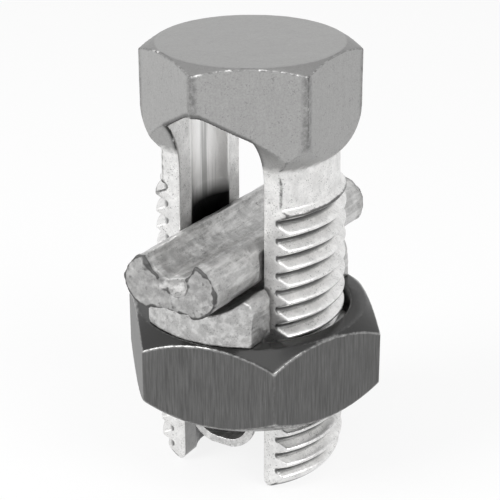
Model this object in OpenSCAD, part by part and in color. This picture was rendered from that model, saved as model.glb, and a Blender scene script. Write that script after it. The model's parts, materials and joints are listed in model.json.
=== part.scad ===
// Split bolt connector with a spacer bar, for joining two cables in line with the slot.
// The axis of the bolt is Z, the cables lie along Y, and the two legs stand at -X and +X.
// The origin lies on the axis, level with the ends of the legs.

/* [Bolt] */
// Outer diameter of the thread
thread_d = 22.2; // [20:0.1:26]
// Distance from one thread to the next
thread_pitch = 2.117; // [1.6:0.01:2.6]
// Depth of the thread, crest to root
thread_depth = 1.3; // [0.8:0.05:1.5]
// Height at which the thread runs out, above the ends of the legs
thread_top = 36.7; // [32:0.1:38]
// Diameter of the plain neck between the thread and the head
neck_d = 20.64; // [19.2:0.01:22]
// Diameter of the ends of the legs
tip_d = 17.7; // [16:0.1:19]
// Length of the rounded lead-in at the ends of the legs
tip_len = 3.9; // [2.5:0.1:5]
// Thickness of the legs along the cables
leg_depth = 13.4; // [11:0.1:15]
// Height at which the legs start to spread below the head
flare_z = 38.5; // [37.5:0.1:40]
// Radius of that spread
flare_r = 8; // [7:0.1:11]

/* [Cable slot] */
// Width of the slot between the legs
slot_w = 11.14; // [10:0.02:12]
// Height at which the roof of the slot starts
slot_spring_z = 44.3; // [42:0.1:45]
// Slope of the two sides of the roof of the slot
slot_slope_deg = 30; // [15:1:35]
// Radius that joins the two sides of the roof
slot_crown_r = 3; // [1.5:0.1:4]
// Rounding of the edge where the slot leaves the ends of the legs
slot_mouth_r = 0.8; // [0.3:0.1:1.2]
// Diameter of the hollow down the inside of the legs
hollow_d = 13.8; // [12.4:0.1:15]

/* [Head] */
// Width across the flats of the head
head_af = 21.9; // [21:0.1:24]
// Height of the top of the head above the ends of the legs
head_top_z = 52.7; // [50:0.1:56]
// Height at which the sides of the head start to curve in
head_curve_z = 45.3; // [43.5:0.1:46]
// Radius of the curve from the sides of the head to the neck
head_curve_r = 6; // [4:0.1:7]
// Diameter of the flat top of the head, inside its chamfer
head_face_d = 21.4; // [20.5:0.1:23]
// Slope, off level, of the rounded chamfer where it leaves the top of the head
head_chamfer_deg = 24.5; // [20:0.5:45]

/* [Nut] */
// Width across the flats of the nut
nut_af = 28; // [27:0.1:32]
// Height of the nut
nut_h = 10.5; // [8:0.1:12]
// Height of the underside of the nut above the ends of the legs
nut_z = 10.4; // [9:0.1:12]
// Diameter of the flat faces of the nut, inside their chamfers
nut_face_d = 27.4; // [25.5:0.1:28]
// Slope, off level, of the rounded chamfers where they leave the flat faces of the nut
nut_chamfer_deg = 36; // [25:1:45]
// Width of the countersink at both ends of the thread in the nut
nut_sink = 0.7; // [0.3:0.05:0.9]
// Turn of the nut about the bolt
nut_turn_deg = 9.9; // [0:0.1:59]
// Gap all round between the crests of the two threads
thread_gap = 0.08; // [0.05:0.01:0.1]

/* [Pressure bar] */
// Diameter of the round front and back walls of the pressure bar
bar_d = 27.1; // [25:0.1:28]
// Width of the parts in front of and behind the legs
bar_w = 14.6; // [13.5:0.1:16]
// Height of the floor of the saddle above the nut
saddle_h = 3.2; // [2.6:0.1:5]
// Height of the horns at both sides of the saddle above the nut
horn_h = 6.3; // [5.5:0.1:7.5]
// Radius of the saddle
saddle_r = 8.4; // [8.2:0.1:12]
// Rounding of the corners beside the legs
bar_corner_r = 1.6; // [0.8:0.1:2]
// Rounding of the tops of the horns
horn_r = 0.7; // [0.3:0.05:0.8]
// Amount by which the round walls lean in at the top
bar_lean = 0.9; // [0.3:0.1:1.5]
// Gap between the legs and whatever slides between them
slide_gap = 0.22; // [0.1:0.01:0.3]

/* [Spacer bar] */
// Length of the spacer bar
spacer_len = 35; // [30:0.1:40]
// Width of the ends of the spacer bar
spacer_w = 11.8; // [11.5:0.1:13.5]
// Height of the two rounded edges of the spacer bar
spacer_h = 6.2; // [5.4:0.1:7]
// Height of the metal left in the middle of the spacer bar
spacer_web = 2.4; // [1.8:0.1:3]
// Depth of the shallow channel under the spacer bar
spacer_under = 1.4; // [0.8:0.1:1.6]
// Radius of the channel on top of the spacer bar
spacer_trough_r = 3.4; // [3:0.1:4]
// Radius of the step from the wide ends to the waist
spacer_step_r = 1.2; // [0.6:0.1:1.6]
// Gap under the spacer bar where it rests on the saddle
rest_gap = 0.3; // [0.2:0.05:0.4]
// Tilt of the loose spacer bar, front end up
spacer_tilt_deg = 1.7; // [0:0.1:2]

/* [Retaining strap] */
// Thickness of the strap
strap_t = 0.6; // [0.4:0.05:0.8]
// Width of the strap across the slot
strap_w = 8.3; // [7:0.1:9]
// Height of the lowest point of the strap above the ends of the legs
strap_z = 3.5; // [2:0.1:5]
// Length of the strap along the cables
strap_len = 12; // [8:0.1:13]
// Width of the turned-out lip at both ends of the strap
strap_lip = 0.45; // [0.2:0.05:0.6]
// Distance by which the loose strap lies off the middle of the slot
strap_shift = 0.7; // [0:0.05:0.7]
// Outer radius of the lower corners of the strap
strap_corner_r = 3.5; // [1.5:0.1:3.5]

/* [Hidden] */
$fn = 96;

// Room past a face, so that a cut goes right through it
over = 1;

// Hexagons: across the flats to across the corners
corner_factor = 1 / cos(30);
head_r = head_af / 2 * corner_factor;
nut_r = nut_af / 2 * corner_factor;

// Thread
thread_r = thread_d / 2;
root_r = thread_r - thread_depth;
crest_flat = thread_pitch / 8;
root_flat = thread_pitch - crest_flat - 2 * thread_depth * tan(30);
thread_turns = floor((thread_top - tip_len / 2) / thread_pitch);
nut_bore_r = thread_r + thread_gap;
nut_top_z = nut_z + nut_h;

// Slot
slot_half = slot_w / 2;
slot_crown_z = slot_spring_z + slot_half * tan(slot_slope_deg) - slot_crown_r / cos(slot_slope_deg);

// Legs: the lead-in is an arc that leaves the thread at the height tip_len
tip_arc_r = (pow(thread_r - tip_d / 2, 2) + pow(tip_len, 2)) / (thread_d - tip_d);
head_arc_x = head_r - head_curve_r;
neck_z = head_curve_z - sqrt(pow(head_curve_r, 2) - pow(neck_d / 2 - head_arc_x, 2));

// Pressure bar
bar_waist = slot_w - 2 * slide_gap;
bar_inner_y = leg_depth / 2 + slide_gap;

// Spacer bar: two round edges that rest on the saddle
lobe_r = spacer_h / 2;
lobe_x = spacer_w / 2 - lobe_r;
spacer_seat_z = nut_top_z + saddle_h + saddle_r + rest_gap - sqrt(pow(saddle_r - lobe_r, 2) - pow(lobe_x, 2));
spacer_z = spacer_seat_z + bar_d / 2 * tan(spacer_tilt_deg);
spacer_waist = slot_w - 2 * slide_gap;
spacer_waist_len = leg_depth + 2 * slide_gap;
under_r = (pow(lobe_x, 2) + pow(spacer_under, 2)) / (2 * spacer_under);

// A shape drawn in X and Z, made len long along Y and centred on it
module along_y(len) {
    rotate([90, 0, 0])
        linear_extrude(height = len, center = true)
            children();
}

// A shape drawn in Y and Z, made len long along X and centred on it
module along_x(len) {
    rotate([90, 0, 90])
        linear_extrude(height = len, center = true)
            children();
}

// A rectangle with round corners, centred
module round_rect(w, h, r) {
    square([w - 2 * r, h], center = true);
    square([w, h - 2 * r], center = true);
    for (x = [-1, 1], y = [-1, 1])
        translate([x * (w / 2 - r), y * (h / 2 - r)])
            circle(r);
}

// Ball that rounds off the corners of a hexagon round a flat face of radius r at the height z
module crown(r, z, slope, way = 1) {
    translate([0, 0, z - way * r / tan(slope)])
        sphere(r / sin(slope));
}

// Half outline of the head: straight above, curved down to the neck below
module head_outline() {
    intersection() {
        union() {
            translate([head_arc_x, head_curve_z])
                circle(head_curve_r);
            translate([0, neck_z - over])
                square([head_arc_x, head_top_z - neck_z + over]);
            translate([0, head_curve_z])
                square([head_r + over, head_top_z - head_curve_z]);
        }
        translate([0, neck_z])
            square([head_r + 2 * over, head_top_z - neck_z]);
    }
}

module head() {
    intersection() {
        rotate_extrude()
            head_outline();
        crown(head_face_d / 2, head_top_z, head_chamfer_deg);
        rotate([0, 0, 30])
            cylinder(r = head_r, h = head_top_z, $fn = 6);
    }
}

// Half outline of one thread groove, cut in from outside at the height z
module groove_outline(z) {
    flank = thread_depth * tan(30);
    slope_over = over * tan(30);
    translate([0, z])
        polygon([[root_r, -root_flat / 2], [thread_r + over, -root_flat / 2 - flank - slope_over],
                 [thread_r + over, root_flat / 2 + flank + slope_over], [root_r, root_flat / 2]]);
}

// Half outline of the shank: round lead-in, thread and plain neck
module shank_outline() {
    difference() {
        union() {
            translate([0, tip_len])
                square([thread_r, thread_top - tip_len]);
            translate([0, tip_len])
                square([neck_d / 2, head_curve_z - tip_len]);
            intersection() {
                square([thread_r, tip_len]);
                translate([thread_r - tip_arc_r, tip_len])
                    circle(tip_arc_r);
            }
        }
        for (turn = [0 : thread_turns - 1])
            groove_outline(thread_top - (turn + 0.5) * thread_pitch);
    }
}

// Outline of the bolt seen from the side: upright legs that spread into the head
module bolt_side() {
    reach = leg_depth / 2 + flare_r;
    difference() {
        translate([-reach, 0])
            square([2 * reach, head_top_z]);
        for (side = [-1, 1]) {
            translate([side * reach, flare_z])
                circle(flare_r);
            translate([side * reach, flare_z / 2 - over])
                square([2 * flare_r, flare_z + 2 * over], center = true);
        }
    }
}

// Outline of the slot seen along the cables: arched roof, rounded mouth at the ends of the legs
module slot_outline() {
    translate([-slot_half, -over])
        square([slot_w, slot_spring_z + over]);
    translate([0, slot_crown_z])
        circle(slot_crown_r);
    polygon([[-slot_half, slot_spring_z], [slot_half, slot_spring_z],
             [slot_crown_r * sin(slot_slope_deg), slot_crown_z + slot_crown_r * cos(slot_slope_deg)],
             [-slot_crown_r * sin(slot_slope_deg), slot_crown_z + slot_crown_r * cos(slot_slope_deg)]]);
    for (side = [-1, 1])
        difference() {
            translate([side * (slot_half + slot_mouth_r / 2), (slot_mouth_r - over) / 2])
                square([slot_mouth_r, slot_mouth_r + over], center = true);
            translate([side * (slot_half + slot_mouth_r), slot_mouth_r])
                circle(slot_mouth_r);
            translate([side * (slot_half + slot_mouth_r * 1.5), 0])
                square([slot_mouth_r, 4 * over], center = true);
        }
}

module split_bolt() {
    color("silver")
        difference() {
            intersection() {
                union() {
                    head();
                    rotate_extrude()
                        shank_outline();
                }
                along_x(2 * head_r + 2 * over)
                    bolt_side();
            }
            along_y(2 * head_r + 2 * over)
                slot_outline();
            translate([0, 0, -over])
                cylinder(d = hollow_d, h = slot_spring_z + over);
        }
}

module hex_nut() {
    color("dimgray")
        translate([0, 0, nut_z])
            difference() {
                intersection() {
                    rotate([0, 0, nut_turn_deg])
                        cylinder(r = nut_r, h = nut_h, $fn = 6);
                    crown(nut_face_d / 2, nut_h, nut_chamfer_deg);
                    crown(nut_face_d / 2, 0, nut_chamfer_deg, way = -1);
                }
                translate([0, 0, -over])
                    cylinder(r = nut_bore_r, h = nut_h + 2 * over);
                translate([0, 0, nut_h - nut_sink])
                    cylinder(r1 = nut_bore_r, r2 = nut_bore_r + nut_sink + over, h = nut_sink + over);
                translate([0, 0, -over])
                    cylinder(r1 = nut_bore_r + nut_sink + over, r2 = nut_bore_r, h = nut_sink + over);
            }
}

// Outline of the pressure bar from above: waist in the slot, wide parts outside the legs
module bar_plan() {
    square([bar_waist, 2 * bar_inner_y + 2 * bar_corner_r + over], center = true);
    for (side = [-1, 1])
        translate([0, side * (bar_inner_y + bar_d / 4)])
            round_rect(bar_w, bar_d / 2, bar_corner_r);
}

// Section of the pressure bar across the cables: saddle between two horns
module bar_section() {
    difference() {
        union() {
            translate([0, horn_h / 2])
                round_rect(bar_w, horn_h, horn_r);
            translate([0, horn_h / 4])
                square([bar_w, horn_h / 2], center = true);
        }
        translate([0, saddle_h + saddle_r])
            circle(saddle_r);
    }
}

// Half outline of the round walls, leaning in towards the top along an arc
module bar_wall() {
    lean_r = (pow(horn_h, 2) + pow(bar_lean, 2)) / (2 * bar_lean);
    intersection() {
        square([bar_d / 2, horn_h]);
        translate([bar_d / 2 - lean_r, 0])
            circle(lean_r, $fn = 360);
    }
}

module pressure_bar() {
    color("gainsboro")
        translate([0, 0, nut_top_z])
            intersection() {
                linear_extrude(height = horn_h)
                    bar_plan();
                along_y(bar_d)
                    bar_section();
                rotate_extrude()
                    bar_wall();
            }
}

// Outline of the strap seen along the cables, grown outwards by the amount grow
module strap_shape(grow, top) {
    w = strap_w + 2 * grow;
    r = strap_corner_r + grow;
    translate([-w / 2, r])
        square([w, top - r]);
    translate([-w / 2 + r, 0])
        square([w - 2 * r, top]);
    for (side = [-1, 1])
        translate([side * (w / 2 - r), r])
            circle(r);
}

module retaining_strap() {
    low = strap_z + strap_lip;
    tall = nut_top_z - low;
    color("darkgray")
        translate([-strap_shift, 0, 0])
        difference() {
            union() {
                translate([0, 0, low])
                    along_y(strap_len)
                        strap_shape(0, tall);
                for (side = [-1, 1])
                    translate([0, side * (strap_len - strap_t) / 2, strap_z])
                        along_y(strap_t)
                            strap_shape(strap_lip, nut_z - strap_z - slide_gap);
            }
            translate([0, 0, low + strap_t])
                along_y(strap_len + over)
                    strap_shape(-strap_t, tall);
        }
}

// Section of the spacer bar: two round edges, a channel above and a shallow one below
module spacer_section() {
    difference() {
        union() {
            square([2 * lobe_x, spacer_h], center = true);
            for (side = [-1, 1])
                translate([side * lobe_x, 0])
                    circle(lobe_r);
        }
        translate([0, spacer_web + spacer_under - lobe_r + spacer_trough_r])
            circle(spacer_trough_r);
        translate([0, spacer_under - lobe_r - under_r])
            circle(under_r);
    }
}

// Outline of the spacer bar from above: wide ends and a waist between the legs
module spacer_plan() {
    step = (spacer_w - spacer_waist) / 2;
    waist_end = spacer_waist_len / 2;
    difference() {
        square([spacer_w, spacer_len], center = true);
        for (side = [-1, 1]) {
            translate([side * (spacer_waist + spacer_w) / 2, 0])
                square([spacer_w, 2 * waist_end], center = true);
            for (end = [-1, 1])
                intersection() {
                    translate([side * (spacer_waist / 2 + spacer_step_r), end * waist_end])
                        circle(spacer_step_r);
                    translate([side * (spacer_waist / 2 + step), end * waist_end])
                        square([2 * step, 2 * spacer_step_r], center = true);
                }
        }
    }
}

module spacer_bar() {
    color("lightgray")
        translate([0, 0, spacer_z])
            rotate([-spacer_tilt_deg, 0, 0])
            intersection() {
                along_y(spacer_len)
                    spacer_section();
                translate([0, 0, -lobe_r - over])
                    linear_extrude(height = spacer_h + 2 * over)
                        spacer_plan();
            }
}

split_bolt();
hex_nut();
pressure_bar();
retaining_strap();
spacer_bar();
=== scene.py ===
"""Looks of the split bolt connector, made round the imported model.

X goes from leg to leg, Y along the cables and Z up the bolt. Blender works in metres,
and the sizes below are in millimetres times MM.
"""

import json
import math

import bmesh
import bpy
from mathutils import Matrix, Quaternion, Vector

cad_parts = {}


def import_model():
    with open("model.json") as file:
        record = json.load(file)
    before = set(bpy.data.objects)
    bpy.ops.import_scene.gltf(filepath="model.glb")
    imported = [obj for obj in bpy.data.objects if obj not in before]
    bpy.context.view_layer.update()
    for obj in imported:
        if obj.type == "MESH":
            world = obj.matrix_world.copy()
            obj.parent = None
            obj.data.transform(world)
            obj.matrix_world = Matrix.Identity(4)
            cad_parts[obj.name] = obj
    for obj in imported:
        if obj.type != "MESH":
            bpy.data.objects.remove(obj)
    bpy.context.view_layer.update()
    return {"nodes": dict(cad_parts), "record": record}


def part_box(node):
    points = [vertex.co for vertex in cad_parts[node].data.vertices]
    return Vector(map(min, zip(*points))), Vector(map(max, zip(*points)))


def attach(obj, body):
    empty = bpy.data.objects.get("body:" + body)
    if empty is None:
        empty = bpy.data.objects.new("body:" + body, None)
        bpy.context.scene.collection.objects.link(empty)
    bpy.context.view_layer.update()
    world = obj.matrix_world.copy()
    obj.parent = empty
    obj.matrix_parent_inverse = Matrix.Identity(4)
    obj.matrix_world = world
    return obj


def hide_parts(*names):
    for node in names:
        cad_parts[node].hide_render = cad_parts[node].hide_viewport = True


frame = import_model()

MM = 0.001
EXPORT_LIMIT = 190000  # triangles on one piece

# Sizes of the bolt
THREAD_R = 11.1 * MM
THREAD_DEPTH = 1.3 * MM
THREAD_TOP = 36.7 * MM
THREAD_FADE = 0.9 * MM
NECK_R = 10.32 * MM
TIP_R = 8.85 * MM
TIP_LEN = 3.9 * MM
LEG_DEPTH = 13.4 * MM
FLARE_Z = 38.5 * MM
FLARE_R = 8.0 * MM
SLOT_W = 11.14 * MM
SLOT_SPRING_Z = 44.3 * MM
SLOT_SLOPE = 30  # degrees
SLOT_CROWN_R = 3.0 * MM
SLOT_MOUTH_R = 1.2 * MM
HOLLOW_R = 6.9 * MM
HEAD_AF = 21.9 * MM
HEAD_CURVE_Z = 45.3 * MM
HEAD_CURVE_R = 6.0 * MM
HEAD_FACE_R = 10.7 * MM
HEAD_CHAMFER = math.radians(24.5)

# Sizes of the nut
NUT_AF = 28.0 * MM
NUT_FACE_R = 13.7 * MM
NUT_CHAMFER = math.radians(36)
NUT_TURN = math.radians(9.9)
NUT_SINK = 0.7 * MM
THREAD_GAP = 0.1 * MM

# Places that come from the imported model
HEAD_TOP_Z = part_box("split_bolt")[1].z
NUT_LOW_Z, NUT_TOP_Z = (corner.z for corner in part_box("hex_nut"))
SPACER_END_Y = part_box("spacer_bar")[1].y
SPACER_Z = sum(corner.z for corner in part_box("spacer_bar")) / 2
SPACER_TILT = math.radians(1.7)
RISE_PER_RADIAN = frame["record"]["behaviour"]["couplings"][0]["ratio"]
PITCH = RISE_PER_RADIAN * 2 * math.pi

# Worn and torn places of the loose pieces
BAR_WEAR = 0.8 * MM
BAR_CORNER_R = 1.5 * MM
SPACER_LEN = 35.0 * MM
SPACER_H = 6.2 * MM
SPACER_UNDER = 0.35 * MM
LOBE_X = 2.8 * MM
FILLER_H = 1.5 * MM
NICK_Z = 0.5 * MM
SHEAR_NICKS = ((0.9, -1.0, 1.4), (-0.6, -1.02, 0.9), (-0.5, 1.0, 1.2))  # across, end, radius

HEX_CORNER = 1 / math.cos(math.radians(30))
CREST_W = PITCH / 8
ROOT_W = PITCH - CREST_W - 2 * THREAD_DEPTH * math.tan(math.radians(30))
THREAD_START = 0.35 * PITCH
HEAD_CORNER = HEAD_AF / 2 * HEX_CORNER
NECK_TOP_Z = HEAD_CURVE_Z - math.sqrt(HEAD_CURVE_R ** 2 - (NECK_R - (HEAD_CORNER - HEAD_CURVE_R)) ** 2)

# Places in the materials, in millimetres
HOLLOW_SHADE_Z = 33.0
HOLLOW_TOP_Z = 47.0
WALL_SHADE_Z = 10.0
TORN_DEPTH = 1.8
END_BLEND = 0.4
TORN_ROUGHNESS = 0.62
DRAWN_STRETCH = 0.16  # along Y, against 1 across
PIT_DEPTH = -0.7  # against the grain's height

# Skin of the metal
RELIEF_STEPS = 6
RELIEF_UNIT = 0.12 * MM


# ---------------------------------------------------------------- meshes

def new_object(name, mesh):
    obj = bpy.data.objects.new(name, mesh)
    bpy.context.scene.collection.objects.link(obj)
    return obj


def mesh_from(name, points, faces):
    mesh = bpy.data.meshes.new(name)
    mesh.from_pydata(points, [], faces)
    mesh.validate()
    return new_object(name, mesh)


def arc(cx, cy, radius, start, end, steps=24):
    """Points on an arc, angles in degrees, both ends included."""
    points = []
    for i in range(steps + 1):
        a = math.radians(start + (end - start) * i / steps)
        points.append((cx + radius * math.cos(a), cy + radius * math.sin(a)))
    return points


def lathe(name, outline, segments=256):
    """A solid turned round Z. The outline runs from the axis at the bottom to the axis at the top."""
    rings = outline[1:-1]
    points = [(0, 0, outline[0][1])]
    for r, z in rings:
        for j in range(segments):
            a = 2 * math.pi * j / segments
            points.append((r * math.cos(a), r * math.sin(a), z))
    points.append((0, 0, outline[-1][1]))
    top = len(points) - 1
    faces = []
    for j in range(segments):
        k = (j + 1) % segments
        faces.append((0, 1 + k, 1 + j))
        for i in range(len(rings) - 1):
            low, high = 1 + i * segments, 1 + (i + 1) * segments
            faces.append((low + j, low + k, high + k, high + j))
        last = 1 + (len(rings) - 1) * segments
        faces.append((last + j, last + k, top))
    return mesh_from(name, points, faces)


def prism(name, outline, axis, low, high):
    """A solid with a flat outline, drawn anticlockwise, between two places along X, Y or Z."""
    place = {
        "X": lambda a, b, c: (c, a, b),
        "Y": lambda a, b, c: (a, c, b),
        "Z": lambda a, b, c: (a, b, c)}[axis]
    n = len(outline)
    points = [place(a, b, low) for a, b in outline] + [place(a, b, high) for a, b in outline]
    faces = [tuple(range(n - 1, -1, -1)), tuple(range(n, 2 * n))]
    faces += [(i, (i + 1) % n, n + (i + 1) % n, n + i) for i in range(n)]
    obj = mesh_from(name, points, faces)
    tidy_mesh(obj)
    return obj


def tidy_mesh(obj, fill=False):
    """Merges doubled points, closes open ends if asked, and turns every face outwards."""
    bm = bmesh.new()
    bm.from_mesh(obj.data)
    bmesh.ops.remove_doubles(bm, verts=bm.verts, dist=1e-7)
    if fill:
        bmesh.ops.holes_fill(bm, edges=[e for e in bm.edges if e.is_boundary], sides=0)
        bmesh.ops.triangulate(bm, faces=[f for f in bm.faces if len(f.verts) > 4])
    bmesh.ops.recalc_face_normals(bm, faces=bm.faces)
    bm.to_mesh(obj.data)
    bm.free()


def settle(obj):
    """Turns an object's modifiers into plain mesh."""
    bpy.context.view_layer.update()
    graph = bpy.context.evaluated_depsgraph_get()
    mesh = bpy.data.meshes.new_from_object(obj.evaluated_get(graph), depsgraph=graph)
    obj.modifiers.clear()
    obj.data = mesh
    return obj


def combine(obj, operation, *others):
    """Joins, cuts or intersects solids, and removes the others."""
    for other in others:
        step = obj.modifiers.new(operation.lower(), "BOOLEAN")
        step.operation = operation
        step.solver = "MANIFOLD"
        step.object = other
        settle(obj)
        bpy.data.objects.remove(other)
    return obj


def crown(face_r, face_z, slope, reach):
    """Arc of the rounded chamfer round a flat face, from the rim inwards."""
    ball_r = face_r / math.sin(slope)
    rim = math.degrees(math.acos(reach / ball_r))
    return arc(0, face_z - face_r / math.tan(slope), ball_r, rim, 90 - math.degrees(slope), 16)


def hexagon(across_flats, turn):
    r = across_flats / 2 * HEX_CORNER
    return [(r * math.cos(turn + i * math.pi / 3), r * math.sin(turn + i * math.pi / 3)) for i in range(6)]


# ---------------------------------------------------------------- node trees

class Tree:
    """Short calls for building a node tree."""

    def __init__(self, tree):
        self.tree = tree

    def add(self, kind, inputs=None, **settings):
        node = self.tree.nodes.new(kind)
        for key, value in settings.items():
            setattr(node, key, value)
        for key, value in (inputs or {}).items():
            self.feed(node.inputs[key], value)
        return node

    def feed(self, socket, value):
        if isinstance(value, bpy.types.NodeSocket):
            self.tree.links.new(value, socket)
        else:
            socket.default_value = value

    def calc(self, operation, *terms, clamp=False):
        """One Math node."""
        node = self.add("ShaderNodeMath", operation=operation, use_clamp=clamp)
        for socket, term in zip(node.inputs, terms):
            self.feed(socket, term)
        return node.outputs[0]

    def vector(self, operation, *terms):
        node = self.add("ShaderNodeVectorMath", operation=operation)
        for socket, term in zip(node.inputs, terms):
            self.feed(socket, term)
        return node.outputs["Value" if operation == "DOT_PRODUCT" else "Vector"]

    def times(self, first, second):
        return self.calc("MULTIPLY", first, second)


def geometry_tree(name, inputs):
    """A Geometry Nodes tree with named inputs, as (tree builder, input sockets, output node)."""
    group = bpy.data.node_groups.new(name, "GeometryNodeTree")
    group.is_modifier = True
    face = group.interface
    face.new_socket("Geometry", in_out="INPUT", socket_type="NodeSocketGeometry")
    for label, kind in inputs:
        face.new_socket(label, in_out="INPUT", socket_type="NodeSocket" + kind)
    face.new_socket("Geometry", in_out="OUTPUT", socket_type="NodeSocketGeometry")
    tree = Tree(group)
    return tree, tree.add("NodeGroupInput").outputs, tree.add("NodeGroupOutput")


def finish_tree(tree, ends, output, geometry):
    """Ends a tree in Realize Instances and Set Material."""
    real = tree.add("GeometryNodeRealizeInstances", {"Geometry": geometry})
    dressed = tree.add("GeometryNodeSetMaterial", {"Geometry": real.outputs[0], "Material": ends["Material"]})
    tree.feed(output.inputs[0], dressed.outputs[0])


def apply_tree(obj, tree, values):
    """Runs a Geometry Nodes tree on an object with the given named inputs, and keeps the result."""
    step = obj.modifiers.new(tree.name, "NODES")
    step.node_group = tree
    for item in tree.interface.items_tree:
        if item.in_out == "INPUT" and item.name in values:
            step[item.identifier] = values[item.name]
    return settle(obj)


def thread_tree():
    """A helical thread: a grid whose rows follow the corners of the thread's profile round the axis."""
    tree, ends, output = geometry_tree("helical_thread", [
        ("Crest Radius", "Float"), ("Root Radius", "Float"), ("Pitch", "Float"), ("Crest Width", "Float"),
        ("Root Width", "Float"), ("Bottom", "Float"), ("Turns", "Int"), ("Segments", "Int"),
        ("Material", "Material")])
    rows = tree.times(ends["Turns"], 4)
    grid = tree.add("GeometryNodeMeshGrid", {
        "Size X": 1.0, "Size Y": 1.0, "Vertices X": tree.calc("ADD", ends["Segments"], 1),
        "Vertices Y": tree.calc("ADD", rows, 1)})
    place = tree.add("ShaderNodeSeparateXYZ", {0: tree.add("GeometryNodeInputPosition").outputs[0]})
    around = tree.calc("ADD", place.outputs["X"], 0.5)
    row = tree.calc("ROUND", tree.times(tree.calc("ADD", place.outputs["Y"], 0.5), rows))
    corner = tree.calc("MODULO", row, 4)
    turn = tree.calc("FLOOR", tree.calc("DIVIDE", row, 4))
    high = tree.calc("GREATER_THAN", corner, 1.5)
    side = tree.calc("SUBTRACT", tree.calc("MODULO", corner, 2), 0.5)

    def at_corner(root_value, crest_value):
        span = tree.calc("SUBTRACT", crest_value, root_value)
        return tree.calc("MULTIPLY_ADD", high, span, root_value)

    radius = at_corner(ends["Root Radius"], ends["Crest Radius"])
    offset = tree.times(side, at_corner(ends["Root Width"], ends["Crest Width"]))
    turns = tree.calc("ADD", tree.calc("MULTIPLY_ADD", high, 0.5, turn), around)
    height = tree.calc("ADD", tree.calc("MULTIPLY_ADD", turns, ends["Pitch"], offset), ends["Bottom"])
    angle = tree.times(around, 2 * math.pi)
    helix = tree.add("ShaderNodeCombineXYZ", {
        "X": tree.times(radius, tree.calc("COSINE", angle)),
        "Y": tree.times(radius, tree.calc("SINE", angle)), "Z": height})
    wound = tree.add("GeometryNodeSetPosition", {
        "Geometry": grid.outputs["Mesh"], "Position": helix.outputs[0]})
    welded = tree.add("GeometryNodeMergeByDistance", {"Geometry": wound.outputs[0], "Distance": 1e-6})
    finish_tree(tree, ends, output, welded.outputs[0])
    return tree.tree


def skin_tree():
    """Gives a smooth solid its cast or worn skin, and marks where it bulges and where it dips.

    The attribute relief is above 0 on outward edges and below 0 in corners and roots.
    """
    tree, ends, output = geometry_tree("metal_skin", [
        ("Coarse Height", "Float"), ("Coarse Size", "Float"), ("Fine Height", "Float"), ("Fine Size", "Float"),
        ("Sheared From", "Float"), ("Sheared Height", "Float"), ("Relief Steps", "Int"),
        ("Relief Unit", "Float"), ("Material", "Material")])
    position = tree.add("GeometryNodeInputPosition").outputs[0]
    normal = tree.add("GeometryNodeInputNormal").outputs[0]

    def noise(size, detail):
        scale = tree.calc("DIVIDE", 1.0, size)
        node = tree.add("ShaderNodeTexNoise", {
            "Vector": position, "Scale": scale, "Detail": detail, "Roughness": 0.6})
        return tree.calc("SUBTRACT", node.outputs[0], 0.5)

    coarse = tree.times(noise(ends["Coarse Size"], 2.0), ends["Coarse Height"])
    fine = tree.times(noise(ends["Fine Size"], 4.0), ends["Fine Height"])
    along = tree.add("ShaderNodeSeparateXYZ", {0: position}).outputs["Y"]
    reach = tree.calc("SUBTRACT", tree.calc("ABSOLUTE", along), ends["Sheared From"])
    sheared = tree.times(tree.calc("GREATER_THAN", reach, 0.0), ends["Sheared Height"])
    facets = noise(tree.times(ends["Fine Size"], 2.6), 1.5)
    torn = tree.times(facets, sheared)
    height = tree.calc("ADD", tree.calc("ADD", coarse, fine), torn)
    push = tree.add("ShaderNodeVectorMath", {0: normal, "Scale": height}, operation="SCALE")
    rough = tree.add("GeometryNodeSetPosition", {"Geometry": ends["Geometry"], "Offset": push.outputs[0]})
    blurred = tree.add("GeometryNodeBlurAttribute", data_type="FLOAT_VECTOR")
    for socket in blurred.inputs:
        if socket.name == "Value" and socket.type == "VECTOR":
            tree.feed(socket, position)
    tree.feed(blurred.inputs["Iterations"], ends["Relief Steps"])
    mean = [socket for socket in blurred.outputs if socket.type == "VECTOR"][0]
    bulge = tree.vector("DOT_PRODUCT", tree.vector("SUBTRACT", position, mean), normal)
    stored = tree.add("GeometryNodeStoreNamedAttribute", {"Geometry": rough.outputs[0], "Name": "relief"},
                      data_type="FLOAT", domain="POINT")
    value = [socket for socket in stored.inputs if socket.name == "Value" and socket.type == "VALUE"][0]
    tree.feed(value, tree.calc("DIVIDE", bulge, ends["Relief Unit"]))
    finish_tree(tree, ends, output, stored.outputs[0])
    return tree.tree


THREAD_TREE = thread_tree()
SKIN_TREE = skin_tree()


def threaded_rod(name, grow=0.0):
    """A rod with the bolt's thread, longer than the bolt at both ends, grown outwards by the amount grow."""
    turns = math.ceil((THREAD_TOP + 4 * PITCH) / PITCH)
    rod = new_object(name, bpy.data.meshes.new(name))
    apply_tree(rod, THREAD_TREE, {
        "Crest Radius": THREAD_R + grow, "Root Radius": THREAD_R - THREAD_DEPTH + grow, "Pitch": PITCH,
        "Crest Width": CREST_W + grow, "Root Width": ROOT_W - grow, "Bottom": -3 * PITCH + THREAD_START,
        "Turns": turns, "Segments": 192})
    tidy_mesh(rod, fill=True)
    return rod


# ---------------------------------------------------------------- shader groups

def shader_group(name, inputs, outputs):
    """A shader node group with named sockets, as (tree builder, input sockets, output node)."""
    group = bpy.data.node_groups.new(name, "ShaderNodeTree")
    for label, kind in inputs:
        group.interface.new_socket(label, in_out="INPUT", socket_type="NodeSocket" + kind)
    for label, kind in outputs:
        group.interface.new_socket(label, in_out="OUTPUT", socket_type="NodeSocket" + kind)
    tree = Tree(group)
    return tree, tree.add("NodeGroupInput").outputs, tree.add("NodeGroupOutput")


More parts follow.
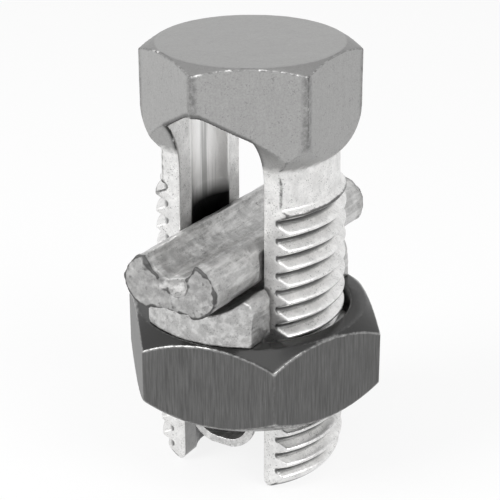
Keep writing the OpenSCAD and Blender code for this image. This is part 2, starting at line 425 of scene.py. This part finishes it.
def mottle_group():
    """Cloudy variation from 0 to 1 at a size in millimetres."""
    tree, ends, output = shader_group("mottle", [
        ("Vector", "Vector"), ("Size", "Float"), ("Contrast", "Float")], [("Value", "Float")])
    noise = tree.add("ShaderNodeTexNoise", {
        "Vector": ends["Vector"], "Scale": tree.calc("DIVIDE", 1.0, ends["Size"]), "Detail": 5.0,
        "Roughness": 0.65})
    spread = tree.times(tree.calc("SUBTRACT", noise.outputs[0], 0.5), ends["Contrast"])
    tree.feed(output.inputs["Value"], tree.calc("ADD", spread, 0.5, clamp=True))
    return tree.tree


def pits_group():
    """Small dark pits scattered unevenly: 1 in a pit, 0 elsewhere."""
    tree, ends, output = shader_group("pits", [
        ("Vector", "Vector"), ("Size", "Float"), ("Amount", "Float")], [("Mask", "Float")])
    scale = tree.calc("DIVIDE", 1.0, ends["Size"])
    grain = tree.add("ShaderNodeTexNoise", {
        "Vector": ends["Vector"], "Scale": scale, "Detail": 2.0, "Roughness": 0.5})
    patches = tree.add("ShaderNodeTexNoise", {
        "Vector": ends["Vector"], "Scale": tree.times(scale, 0.17), "Detail": 2.0})
    limit = tree.calc("MULTIPLY_ADD", patches.outputs[0], -0.35, tree.calc("SUBTRACT", 0.86, ends["Amount"]))
    over = tree.calc("MULTIPLY", tree.calc("SUBTRACT", grain.outputs[0], limit), 9.0, clamp=True)
    tree.feed(output.inputs["Mask"], over)
    return tree.tree


def wear_and_shade_group():
    """Worn edges, and painted shade in corners, from the relief attribute, broken up by noise."""
    tree, ends, output = shader_group("wear_and_shade", [
        ("Vector", "Vector"), ("Edge From", "Float"), ("Edge To", "Float"), ("Corner From", "Float"),
        ("Corner To", "Float")], [("Edge", "Float"), ("Corner", "Float")])
    relief = tree.add("ShaderNodeAttribute", attribute_name="relief").outputs["Fac"]
    noise = tree.add("ShaderNodeTexNoise", {
        "Vector": ends["Vector"], "Scale": 1.7, "Detail": 4.0, "Roughness": 0.7})
    broken = tree.calc("MULTIPLY_ADD", tree.calc("SUBTRACT", noise.outputs[0], 0.5), 0.5, relief)
    edge = tree.add("ShaderNodeMapRange", {
        "Value": broken, "From Min": ends["Edge From"], "From Max": ends["Edge To"]})
    # Corner: mask for painted shade where the relief dips
    corner = tree.add("ShaderNodeMapRange", {
        "Value": tree.times(relief, -1.0), "From Min": ends["Corner From"],
        "From Max": ends["Corner To"]})
    tree.feed(output.inputs["Edge"], edge.outputs[0])
    tree.feed(output.inputs["Corner"], corner.outputs[0])
    return tree.tree


def brushed_group():
    """Fine vertical streaks from 0 to 1."""
    tree, ends, output = shader_group("brushed", [
        ("Vector", "Vector"), ("Size", "Float"), ("Stretch", "Float")], [("Value", "Float")])
    squeezed = tree.vector("MULTIPLY", ends["Vector"], tree.add("ShaderNodeCombineXYZ", {
        "X": 1.0, "Y": 1.0, "Z": tree.calc("DIVIDE", 1.0, ends["Stretch"])}).outputs[0])
    noise = tree.add("ShaderNodeTexNoise", {
        "Vector": squeezed, "Scale": tree.calc("DIVIDE", 1.0, ends["Size"]), "Detail": 3.0, "Roughness": 0.6})
    tree.feed(output.inputs["Value"], noise.outputs[0])
    return tree.tree


MOTTLE = mottle_group()
PITS = pits_group()
WEAR_AND_SHADE = wear_and_shade_group()
BRUSHED = brushed_group()


class Paint(Tree):
    """A material in the making. Lengths inside it are millimetres."""

    def __init__(self, name):
        self.material = bpy.data.materials.new(name)
        self.material.use_nodes = True
        super().__init__(self.material.node_tree)
        self.shader = self.tree.nodes["Principled BSDF"]
        place = self.add("ShaderNodeTexCoord").outputs["Object"]
        self.place = self.vector("MULTIPLY", place, (1 / MM, 1 / MM, 1 / MM))
        self.x, self.y, self.z = self.parts(self.place)

    def parts(self, vector):
        """The three values that make up a vector."""
        return self.add("ShaderNodeSeparateXYZ", {0: vector}).outputs

    def facing(self):
        """The three parts of the surface's normal."""
        return self.parts(self.add("ShaderNodeNewGeometry").outputs["Normal"])

    def group(self, group, place=None, **inputs):
        node = self.add("ShaderNodeGroup", node_tree=group)
        self.feed(node.inputs["Vector"], place or self.place)
        for key, value in inputs.items():
            self.feed(node.inputs[key.replace("_", " ")], value)
        return node.outputs

    def mix(self, share, first, second):
        """Colour first where share is 0, second where it is 1."""
        node = self.add("ShaderNodeMix", data_type="RGBA")
        self.feed(node.inputs[0], share)
        for index, value in ((6, first), (7, second)):
            self.feed(node.inputs[index], grey(value) if isinstance(value, float) else value)
        return node.outputs[2]

    def cover(self, color, mask, strength, over):
        """A colour with another laid over it where the mask is 1, at the given strength."""
        return self.mix(self.times(mask, strength), color, over)

    def ramp(self, value, low, high, start=0.0, end=1.0):
        """A value carried from one span to another."""
        node = self.add("ShaderNodeMapRange", {
            "Value": value, "From Min": start, "From Max": end, "To Min": low, "To Max": high})
        return node.outputs[0]

    def rise(self, value, start, end):
        """0 below start and 1 above end."""
        return self.ramp(value, 0.0, 1.0, start, end)

    def fall(self, value, start, end):
        """1 below start and 0 above end."""
        return self.ramp(value, 1.0, 0.0, start, end)

    def bump(self, height, strength, distance):
        node = self.add("ShaderNodeBump", {"Height": height, "Strength": strength, "Distance": distance})
        self.feed(self.shader.inputs["Normal"], node.outputs[0])

    def done(self, color, roughness, metallic):
        self.feed(self.shader.inputs["Base Color"], color)
        self.feed(self.shader.inputs["Roughness"], roughness)
        self.shader.inputs["Metallic"].default_value = metallic
        return self.material


def grey(value):
    """A very slightly warm grey."""
    return (value, value * 0.995, value * 0.985, 1.0)


# ---------------------------------------------------------------- tin plating

def tin_base(paint, light, dark, corner_shade=0.92):
    """Tin plating on a casting with painted shade in its corners, as (colour, grain, pits)."""
    cloud = paint.group(MOTTLE, Size=1.5, Contrast=2.7)["Value"]
    grain = paint.group(MOTTLE, Size=0.35, Contrast=1.9)["Value"]
    pits = paint.group(PITS, Size=0.17, Amount=0.08)["Mask"]
    wear_and_shade = paint.group(WEAR_AND_SHADE, Edge_From=0.4, Edge_To=1.2, Corner_From=0.22, Corner_To=0.6)
    blend = paint.calc("ADD", paint.times(cloud, 0.6), paint.times(grain, 0.4))
    color = paint.mix(blend, dark, light)
    color = paint.cover(color, wear_and_shade["Edge"], 0.6, light)
    color = paint.cover(color, pits, 0.6, dark * 0.3)
    # painted shade: corners and roots darkened where the relief dips
    color = paint.cover(color, wear_and_shade["Corner"], corner_shade, dark * 0.06)
    return color, grain, pits


def sharp_edge(paint):
    """A thin broken line along every edge that sticks out."""
    return paint.group(WEAR_AND_SHADE, Edge_From=0.16, Edge_To=0.4, Corner_From=0.3, Corner_To=1.0)["Edge"]


def torn_end(paint, color, rough, dark, end_from):
    """Darker, duller metal with a dark rim past end_from along Y, as (colour, roughness)."""
    reach = paint.calc("ABSOLUTE", paint.y)
    at_end = paint.rise(reach, end_from - 0.35, end_from)
    torn = paint.ramp(reach, 0.0, TORN_ROUGHNESS, end_from - TORN_DEPTH, end_from - TORN_DEPTH + END_BLEND)
    rim = paint.times(at_end, sharp_edge(paint))
    color = paint.cover(color, at_end, 0.5, dark)
    color = paint.cover(color, rim, 0.85, dark * 0.2)
    return color, paint.calc("MAXIMUM", rough, torn)


def tin_plate(name, light, dark, end_from=None):
    """Tin plating on drawn metal, torn past end_from along Y where that is given."""
    paint = Paint(name)
    color, grain, pits = tin_base(paint, light, dark)
    rough = paint.ramp(grain, 0.4, 0.26)
    drawn = paint.vector("MULTIPLY", paint.place, (1.0, DRAWN_STRETCH, 1.0))
    streaks = paint.group(MOTTLE, place=drawn, Size=0.9, Contrast=3.4)["Value"]
    # drawn streaks along Y, painted lighter than the plating: grain of the drawn metal and painted highlights
    # along the length
    color = paint.mix(paint.ramp(streaks, 0.0, 0.55, 0.45, 0.9), color, light * 1.25)
    if end_from is not None:
        color, rough = torn_end(paint, color, rough, dark, end_from)
    height = paint.calc("ADD", paint.times(streaks, 1.5), paint.times(pits, PIT_DEPTH))
    paint.bump(height, 0.4, 0.06 * MM)
    return paint.done(color, rough, 0.85)


# ---------------------------------------------------------------- metal of the bolt

def distance_from_axis(paint):
    squares = [paint.calc("POWER", side, 2.0) for side in (paint.x, paint.y)]
    return paint.calc("SQRT", paint.calc("ADD", *squares))


def slot_rim(paint):
    """A rounded rim of even width just above the roof of the slot."""
    angle = math.radians(SLOT_SLOPE)
    half = SLOT_W / 2 / MM
    peak = SLOT_SPRING_Z / MM + half * math.tan(angle)
    ridge = peak - SLOT_CROWN_R / MM * (1 / math.cos(angle) - 1)
    across = paint.calc("ABSOLUTE", paint.x)
    side = paint.calc("MULTIPLY_ADD", across, -math.tan(angle), peak)
    above = paint.calc("SUBTRACT", paint.z, paint.calc("MINIMUM", side, ridge))
    ragged = paint.group(MOTTLE, Size=0.5, Contrast=1.2)["Value"]
    near = paint.fall(across, half + 0.1, half + 0.6)
    rim = paint.fall(paint.calc("ADD", above, paint.times(ragged, 0.3)), 0.5, 0.75)
    return paint.times(near, rim)


def satin_head(paint, tone, pits):
    """The machined head: satin grey, with painted shade on its top and more on its chamfers, and dark edges
    with painted glints here and there.
    """
    lines = paint.group(BRUSHED, Size=0.3, Stretch=12.0)["Value"]
    cloud = paint.group(MOTTLE, Size=2.2, Contrast=1.6)["Value"]
    grain = paint.group(MOTTLE, Size=0.2, Contrast=4.0)["Value"]
    blotch = paint.group(MOTTLE, Size=0.6, Contrast=2.5)["Value"]
    glint = paint.group(PITS, Size=0.9, Amount=0.06)["Mask"]
    edge = paint.group(WEAR_AND_SHADE, Edge_From=0.22, Edge_To=0.6, Corner_From=0.2, Corner_To=1.0)["Edge"]
    upright = paint.facing()["Z"]
    top = paint.rise(upright, 0.93, 0.98)
    chamfer = paint.times(paint.rise(upright, 0.6, 0.8), paint.fall(upright, 0.93, 0.99))
    corner_r = HEAD_CORNER / MM
    corner = paint.times(paint.rise(distance_from_axis(paint), corner_r - 0.42, corner_r - 0.2), blotch)
    color = paint.mix(paint.rise(lines, 0.3, 0.7), tone * 0.95, tone * 1.05)
    color = paint.cover(color, cloud, 0.35, tone * 0.8)
    color = paint.cover(color, grain, 0.5, tone * 0.68)
    color = paint.cover(color, pits, 0.5, tone * 0.4)
    # painted shade: the top face darkened, and the chamfers more, by which way they face
    color = paint.cover(color, top, 0.5, tone * 0.6)
    color = paint.cover(color, chamfer, 0.6, tone * 0.35)
    color = paint.cover(color, slot_rim(paint), 0.8, tone * 0.3)
    color = paint.cover(color, corner, 0.8, tone * 0.3)
    # painted highlights: bright glints scattered along the dark edges
    return paint.cover(color, edge, 0.85, paint.mix(glint, tone * 0.16, 0.95))


def thread_root_shade(paint, from_axis, facing):
    """Mask for painted shade: 1 in the roots of the thread, 0 on the flat sides of the legs and above the
    thread.
    """
    root_r = (THREAD_R - THREAD_DEPTH) / MM
    top = THREAD_TOP / MM
    low = paint.fall(from_axis, root_r + 0.06, root_r + 0.34)
    outside = paint.rise(from_axis, root_r - 0.5, root_r - 0.4)
    turned = paint.fall(paint.calc("ABSOLUTE", facing["Y"]), 0.94, 0.99)
    below = paint.fall(paint.z, top - 0.6, top)
    return paint.times(paint.times(low, outside), paint.times(turned, below))


def neck_crease(paint, from_axis):
    """1 on the edges between the round of the neck and the flat sides of the legs."""
    on_neck = paint.rise(paint.z, THREAD_TOP / MM - 2.5, THREAD_TOP / MM - 1.5)
    outside = paint.rise(from_axis, NECK_R / MM - 0.92, NECK_R / MM - 0.62)
    return paint.times(on_neck, paint.times(sharp_edge(paint), outside))


def drilled_hollow(paint):
    """The drilled inside of the legs: smooth bands of drilling painted bright as highlights, and painted
    shade, black, where the slot closes off the light.
    """
    bands = paint.group(BRUSHED, Size=1.1, Stretch=30.0)["Value"]
    # drilled bands, painted bright as highlights
    smooth = paint.mix(paint.rise(bands, 0.36, 0.52), 0.55, 1.0)
    # painted shade: black low in the hollow
    depth = paint.fall(paint.z, HOLLOW_SHADE_Z - 1.0, HOLLOW_SHADE_Z + 1.2)
    return paint.mix(depth, smooth, 0.015)


def slot_wall(paint, facing):
    """1 on the two flat walls of the slot."""
    half = SLOT_W / 2 / MM
    sideways = paint.rise(paint.calc("ABSOLUTE", facing["X"]), 0.85, 0.95)
    return paint.times(sideways, paint.fall(paint.calc("ABSOLUTE", paint.x), half + 0.1, half + 0.3))


def bolt_metal(name):
    """Bright tin with painted shade in the thread roots on the legs, a satin head, and a drilled hollow."""
    paint = Paint(name)
    color, grain, pits = tin_base(paint, 0.98, 0.58, corner_shade=0.3)
    from_axis = distance_from_axis(paint)
    facing = paint.facing()
    # painted shade: near-black thread roots
    color = paint.cover(color, thread_root_shade(paint, from_axis, facing), 0.9, 0.05)
    color = paint.cover(color, neck_crease(paint, from_axis), 0.9, 0.05)

    in_hollow = paint.times(paint.fall(from_axis, HOLLOW_R / MM + 0.05, HOLLOW_R / MM + 0.15),
                            paint.fall(paint.z, HOLLOW_TOP_Z - 1.0, HOLLOW_TOP_Z))
    color = paint.mix(in_hollow, color, drilled_hollow(paint))
    wall = slot_wall(paint, facing)
    shade = paint.times(wall, paint.fall(paint.z, WALL_SHADE_Z - 2.0, WALL_SHADE_Z + 2.0))
    color = paint.cover(color, shade, 0.8, 0.16)

    uneven = paint.group(MOTTLE, Size=1.2, Contrast=1.5)["Value"]
    level = paint.calc("ADD", paint.z, paint.calc("SUBTRACT", uneven, 0.5))
    on_head = paint.rise(level, NECK_TOP_Z / MM - 0.2, NECK_TOP_Z / MM + 0.5)
    inside = paint.calc("MAXIMUM", in_hollow, wall)
    outside = paint.times(on_head, paint.calc("SUBTRACT", 1.0, inside))
    color = paint.mix(outside, color, satin_head(paint, 0.42, pits))
    paint.bump(paint.calc("ADD", grain, paint.times(pits, PIT_DEPTH)), 0.3, 0.05 * MM)
    return paint.done(color, paint.ramp(outside, 0.3, 0.42), 0.8)


# ---------------------------------------------------------------- metal of the nut

def dark_plate(name):
    """Dark plating on the nut: brushed sides, smoother top, bright worn edges, and painted shade in its
    corners.
    """
    paint = Paint(name)
    lines = paint.group(BRUSHED, Size=0.2, Stretch=18.0)["Value"]
    cloud = paint.group(MOTTLE, Size=2.8, Contrast=2.0)["Value"]
    wear_and_shade = paint.group(WEAR_AND_SHADE, Edge_From=0.27, Edge_To=0.6, Corner_From=0.3, Corner_To=1.0)
    upright = paint.calc("ABSOLUTE", paint.facing()["Z"])
    side = paint.fall(upright, 0.25, 0.6)
    rim = paint.ramp(upright, 0.25, 1.0, 0.02, 0.2)
    streaks = paint.mix(paint.rise(lines, 0.33, 0.67), 0.085, 0.16)
    color = paint.mix(side, 0.045, paint.cover(streaks, cloud, 0.6, 0.1))
    color = paint.mix(paint.times(wear_and_shade["Edge"], rim), color, 0.42)
    # painted shade: near black in the corners, where the relief dips
    color = paint.mix(wear_and_shade["Corner"], color, 0.015)
    paint.bump(paint.times(lines, side), 0.25, 0.04 * MM)
    return paint.done(color, paint.ramp(side, 0.2, 0.42), 0.75)


BOLT_METAL = bolt_metal("bolt_tin")
BAR_METAL = tin_plate("bar_tin", 0.6, 0.32)
SPACER_METAL = tin_plate("spacer_tin", 0.6, 0.28, end_from=SPACER_END_Y / MM - 0.3)
STRAP_METAL = tin_plate("strap_tin", 0.75, 0.4)
NUT_METAL = dark_plate("nut_plate")


# ---------------------------------------------------------------- pieces

def dress(obj, body, node, material, voxel, coarse, fine, sheared=(1.0, 0.0), soften=2):
    """Rounds a solid's edges, gives it its skin, and puts it on its body in place of its CAD node.

    The pairs coarse and fine are the height and size of the skin's unevenness, in millimetres.
    The pair sheared is the place along Y past which the ends are torn, in metres, and by how much.
    """
    remesh = obj.modifiers.new("even", "REMESH")
    remesh.mode = "VOXEL"
    remesh.voxel_size = voxel * MM
    smooth = obj.modifiers.new("soften", "SMOOTH")
    smooth.iterations = soften
    smooth.factor = 0.5
    settle(obj)
    apply_tree(obj, SKIN_TREE, {
        "Coarse Height": coarse[0] * MM, "Coarse Size": coarse[1] * MM, "Fine Height": fine[0] * MM,
        "Fine Size": fine[1] * MM, "Sheared From": sheared[0], "Sheared Height": sheared[1] * MM,
        "Relief Steps": RELIEF_STEPS, "Relief Unit": RELIEF_UNIT, "Material": material})
    faces = sum(len(polygon.vertices) - 2 for polygon in obj.data.polygons)
    if faces > EXPORT_LIMIT:
        thin = obj.modifiers.new("thin", "DECIMATE")
        thin.ratio = EXPORT_LIMIT / faces
        settle(obj)
    obj.data.materials.clear()
    obj.data.materials.append(material)
    obj.data.shade_smooth()
    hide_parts(node)
    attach(obj, body)
    return obj


def copy_of(node, name):
    """A closed copy of a CAD node's mesh, to be dressed."""
    obj = new_object(name, frame["nodes"][node].data.copy())
    obj.data.materials.clear()
    tidy_mesh(obj)
    return obj


def head_solid():
    centre = HEAD_CORNER - HEAD_CURVE_R
    low = math.degrees(math.atan2(NECK_TOP_Z - HEAD_CURVE_Z, NECK_R - centre))
    outline = [(0, NECK_TOP_Z)] + arc(centre, HEAD_CURVE_Z, HEAD_CURVE_R, low, 0)
    outline += crown(HEAD_FACE_R, HEAD_TOP_Z, HEAD_CHAMFER, HEAD_CORNER) + [(0, HEAD_TOP_Z)]
    turned = lathe("head", outline)
    sides = prism("hex", hexagon(HEAD_AF, math.radians(30)), "Z", 0, 2 * HEAD_TOP_Z)
    return combine(turned, "INTERSECT", sides)


def shank_solid():
    """Threaded shank with a rounded tip, whose thread fades out below the plain neck."""
    rise = THREAD_R - TIP_R
    tip_arc = (rise ** 2 + TIP_LEN ** 2) / (2 * rise)
    low = -math.degrees(math.asin(TIP_LEN / tip_arc))
    outline = [(0, 0)] + arc(THREAD_R - tip_arc, TIP_LEN, tip_arc, low, 0)
    outline += [(THREAD_R, THREAD_TOP - THREAD_FADE), (NECK_R, THREAD_TOP), (0, THREAD_TOP)]
    shank = combine(threaded_rod("shank"), "INTERSECT", lathe("envelope", outline))
    neck_low = THREAD_TOP - THREAD_FADE / 2
    neck = lathe("neck", [(0, neck_low), (NECK_R, neck_low), (NECK_R, HEAD_CURVE_Z), (0, HEAD_CURVE_Z)])
    return combine(shank, "UNION", neck)


def side_prism():
    """The bolt's outline seen from the side: upright legs that spread into the head."""
    half, top = LEG_DEPTH / 2, HEAD_TOP_Z * 1.2
    spread = arc(half + FLARE_R, FLARE_Z, FLARE_R, 180, 90)
    right = [(half, -TIP_LEN)] + spread + [(half + FLARE_R, top)]
    outline = right + [(-y, z) for y, z in reversed(right)]
    return prism("side", outline, "X", -2 * THREAD_R, 2 * THREAD_R)


def slot_prism():
    """The slot seen along the cables: a gabled roof with a round ridge, and a mouth with rounded edges."""
    half = SLOT_W / 2
    slope = math.radians(SLOT_SLOPE)
    crown_z = SLOT_SPRING_Z + half * math.tan(slope) - SLOT_CROWN_R / math.cos(slope)
    mouth = arc(half + SLOT_MOUTH_R, SLOT_MOUTH_R, SLOT_MOUTH_R, 270, 180, 8)
    right = [(half + SLOT_MOUTH_R, -TIP_LEN)] + mouth
    left = [(-x, z) for x, z in reversed(right)]
    roof = [(half, SLOT_SPRING_Z)] + arc(0, crown_z, SLOT_CROWN_R, 90 - SLOT_SLOPE, 90 + SLOT_SLOPE, 16)
    roof.append((-half, SLOT_SPRING_Z))
    return prism("slot", right + roof + left, "Y", -2 * THREAD_R, 2 * THREAD_R)


def bolt():
    solid = combine(head_solid(), "UNION", shank_solid())
    combine(solid, "INTERSECT", side_prism())
    bore = [(0, -TIP_LEN), (HOLLOW_R, -TIP_LEN), (HOLLOW_R, SLOT_SPRING_Z), (0, SLOT_SPRING_Z)]
    hollow = lathe("hollow", bore)
    combine(solid, "DIFFERENCE", slot_prism(), hollow)
    solid.name = "bolt"
    return dress(solid, "bolt", "split_bolt", BOLT_METAL,
                 voxel=0.15, coarse=(0.12, 5.0), fine=(0.04, 0.7))


def nut():
    corner = NUT_AF / 2 * HEX_CORNER * 1.02
    upper = crown(NUT_FACE_R, NUT_TOP_Z, NUT_CHAMFER, corner)
    lower = [(r, NUT_LOW_Z + NUT_TOP_Z - z) for r, z in reversed(upper)]
    outline = [(0, NUT_LOW_Z)] + lower + upper + [(0, NUT_TOP_Z)]
    sides = prism("hex", hexagon(NUT_AF, NUT_TURN), "Z", NUT_LOW_Z - MM, NUT_TOP_Z + MM)
    solid = combine(lathe("nut", outline), "INTERSECT", sides)
    sink_r = THREAD_R + THREAD_GAP + NUT_SINK
    sink_low = THREAD_R - THREAD_DEPTH
    depth = sink_r - sink_low
    for face, way in ((NUT_TOP_Z, -1), (NUT_LOW_Z, 1)):
        deep, clear = face + way * depth, face - way * MM
        steps = [(0, deep), (sink_low, deep), (sink_r, face), (sink_r, clear), (0, clear)]
        cone = lathe("sink", steps if way < 0 else steps[::-1])
        tidy_mesh(cone)
        combine(solid, "DIFFERENCE", cone)
    combine(solid, "DIFFERENCE", threaded_rod("tap", THREAD_GAP))
    solid.name = "nut"
    return dress(solid, "nut", "hex_nut", NUT_METAL,
                 voxel=0.18, coarse=(0.05, 6.0), fine=(0.015, 0.8), soften=3)


def rounded_box(half, high, radius):
    """Outline of an upright box from x = -half to half with its upper corners rounded."""
    right = [(half, high[0])] + arc(half - radius, high[1] - radius, radius, 0, 90, 12)
    return right + [(-x, z) for x, z in reversed(right)]


def pressure_bar():
    """The cast bar, with worn horns and corners."""
    solid = copy_of("pressure_bar", "cast_bar")
    low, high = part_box("pressure_bar")
    outline = rounded_box(high.x - BAR_WEAR / 2, (low.z - MM, high.z - BAR_WEAR), BAR_CORNER_R)
    worn = prism("worn_horns", outline, "Y", 2 * low.y, 2 * high.y)
    combine(solid, "INTERSECT", worn)
    return dress(solid, "pressure_bar", "pressure_bar", BAR_METAL,
                 voxel=0.13, coarse=(0.35, 2.6), fine=(0.1, 0.7), soften=10)


def spacer():
    """The spacer bar, sheared off at both ends, with only a shallow hollow along its underside."""
    solid = copy_of("spacer_bar", "spacer")
    tilt = Matrix.Translation((0, 0, SPACER_Z)) @ Matrix.Rotation(-SPACER_TILT, 4, "X")
    low = -SPACER_H / 2 + SPACER_UNDER
    high = low + FILLER_H
    end = SPACER_LEN / 2 - 0.01 * MM
    filler = prism("filler", [(-LOBE_X, low), (LOBE_X, low), (LOBE_X, high), (-LOBE_X, high)], "Y", -end, end)
    filler.data.transform(tilt)
    combine(solid, "UNION", filler)
    for x, y, r in SHEAR_NICKS:
        nick = lathe("nick", [(0, -r * MM)] + arc(0, 0, r * MM, -80, 80, 8) + [(0, r * MM)], 24)
        nick.data.transform(tilt @ Matrix.Translation((x * MM, y * SPACER_LEN / 2, NICK_Z)))
        combine(solid, "DIFFERENCE", nick)
    return dress(solid, "spacer", "spacer_bar", SPACER_METAL,
                 voxel=0.14, coarse=(0.3, 3.2), fine=(0.06, 0.7), sheared=(SPACER_LEN / 2 - 0.7 * MM, 0.7))


def strap():
    solid = copy_of("retaining_strap", "strap")
    return dress(solid, "pressure_bar", "retaining_strap", STRAP_METAL,
                 voxel=0.12, coarse=(0.04, 2.0), fine=(0.02, 0.6))


# ---------------------------------------------------------------- stage

CAMERA_AZIMUTH = math.radians(30.94)
CAMERA_ELEVATION = math.radians(23.53)
CAMERA_ROLL = math.radians(-0.22)
CAMERA_DISTANCE = 189.07 * MM
CAMERA_TARGET = Vector((-0.13, -0.08, 27.1)) * MM
CAMERA_LENS = 115.28
WORLD_LIGHT = 0.32
FLOOR_WHITE = 0.86  # share of the floor that is plain white to the camera


def direction(azimuth, elevation):
    """Unit vector from the object towards a place round it; azimuth 0 is towards -Y."""
    return Vector((math.sin(azimuth) * math.cos(elevation), -math.cos(azimuth) * math.cos(elevation),
                   math.sin(elevation)))


def camera():
    data = bpy.data.cameras.new("camera")
    data.lens = CAMERA_LENS
    data.clip_start = CAMERA_DISTANCE / 10
    data.clip_end = CAMERA_DISTANCE * 50
    obj = new_object("camera", data)
    back = direction(CAMERA_AZIMUTH, CAMERA_ELEVATION)
    obj.location = CAMERA_TARGET + back * CAMERA_DISTANCE
    obj.rotation_mode = "QUATERNION"
    obj.rotation_quaternion = (-back).to_track_quat("-Z", "Y") @ Quaternion((0, 0, 1), CAMERA_ROLL)
    bpy.context.scene.camera = obj


def area_lamp(name, azimuth, elevation, distance, size, watts):
    data = bpy.data.lights.new(name, "AREA")
    data.shape = "DISK"
    data.size = size
    data.energy = watts
    obj = new_object(name, data)
    back = direction(math.radians(azimuth), math.radians(elevation))
    obj.location = Vector((0, 0, 30 * MM)) + back * distance
    obj.rotation_mode = "QUATERNION"
    obj.rotation_quaternion = (-back).to_track_quat("-Z", "Y")


def shown(tree):
    """1 for the rays that show the backdrop: straight to the camera, in gloss and through glass."""
    path = tree.add("ShaderNodeLightPath").outputs
    return tree.calc("MAXIMUM", tree.calc("MAXIMUM", path["Is Camera Ray"], path["Is Glossy Ray"]),
                    path["Is Transmission Ray"])


def white_or(tree, strength):
    """White for the rays that show the backdrop, and the given strength for the light it throws."""
    return tree.calc("MULTIPLY_ADD", shown(tree), 1.0 - strength, strength)


def world():
    made = bpy.data.worlds.new("studio")
    bpy.context.scene.world = made
    made.use_nodes = True
    tree = Tree(made.node_tree)
    background = made.node_tree.nodes["Background"]
    background.inputs["Color"].default_value = (1, 1, 1, 1)
    tree.feed(background.inputs["Strength"], white_or(tree, WORLD_LIGHT))


def floor():
    """A white floor that keeps the object's shadow."""
    size = 3.0
    corners = [(-size, -size, 0), (size, -size, 0), (size, size, 0), (-size, size, 0)]
    obj = mesh_from("floor", corners, [(0, 1, 2, 3)])
    material = bpy.data.materials.new("floor_white")
    material.use_nodes = True
    tree = Tree(material.node_tree)
    shader = material.node_tree.nodes["Principled BSDF"]
    shader.inputs["Base Color"].default_value = (0.93, 0.93, 0.93, 1)
    shader.inputs["Roughness"].default_value = 0.8
    shader.inputs["Specular IOR Level"].default_value = 0.2
    white = tree.add("ShaderNodeEmission", {"Color": (1, 1, 1, 1), "Strength": 1.0})
    blend = tree.add("ShaderNodeMixShader", {0: tree.times(shown(tree), FLOOR_WHITE)})
    tree.feed(blend.inputs[1], shader.outputs[0])
    tree.feed(blend.inputs[2], white.outputs[0])
    tree.feed(material.node_tree.nodes["Material Output"].inputs["Surface"], blend.outputs[0])
    obj.data.materials.append(material)


def studio():
    bpy.context.scene.view_settings.view_transform = "Standard"
    world()
    floor()
    # name, azimuth, elevation, distance, size, watts
    area_lamp("left_lamp", -35, 35, 0.5, 0.3, 1.8)
    area_lamp("right_lamp", 75, 45, 0.5, 0.3, 1.1)
    area_lamp("top_lamp", 20, 80, 0.6, 0.4, 0.4)


camera()
bolt()
nut()
pressure_bar()
spacer()
strap()
studio()
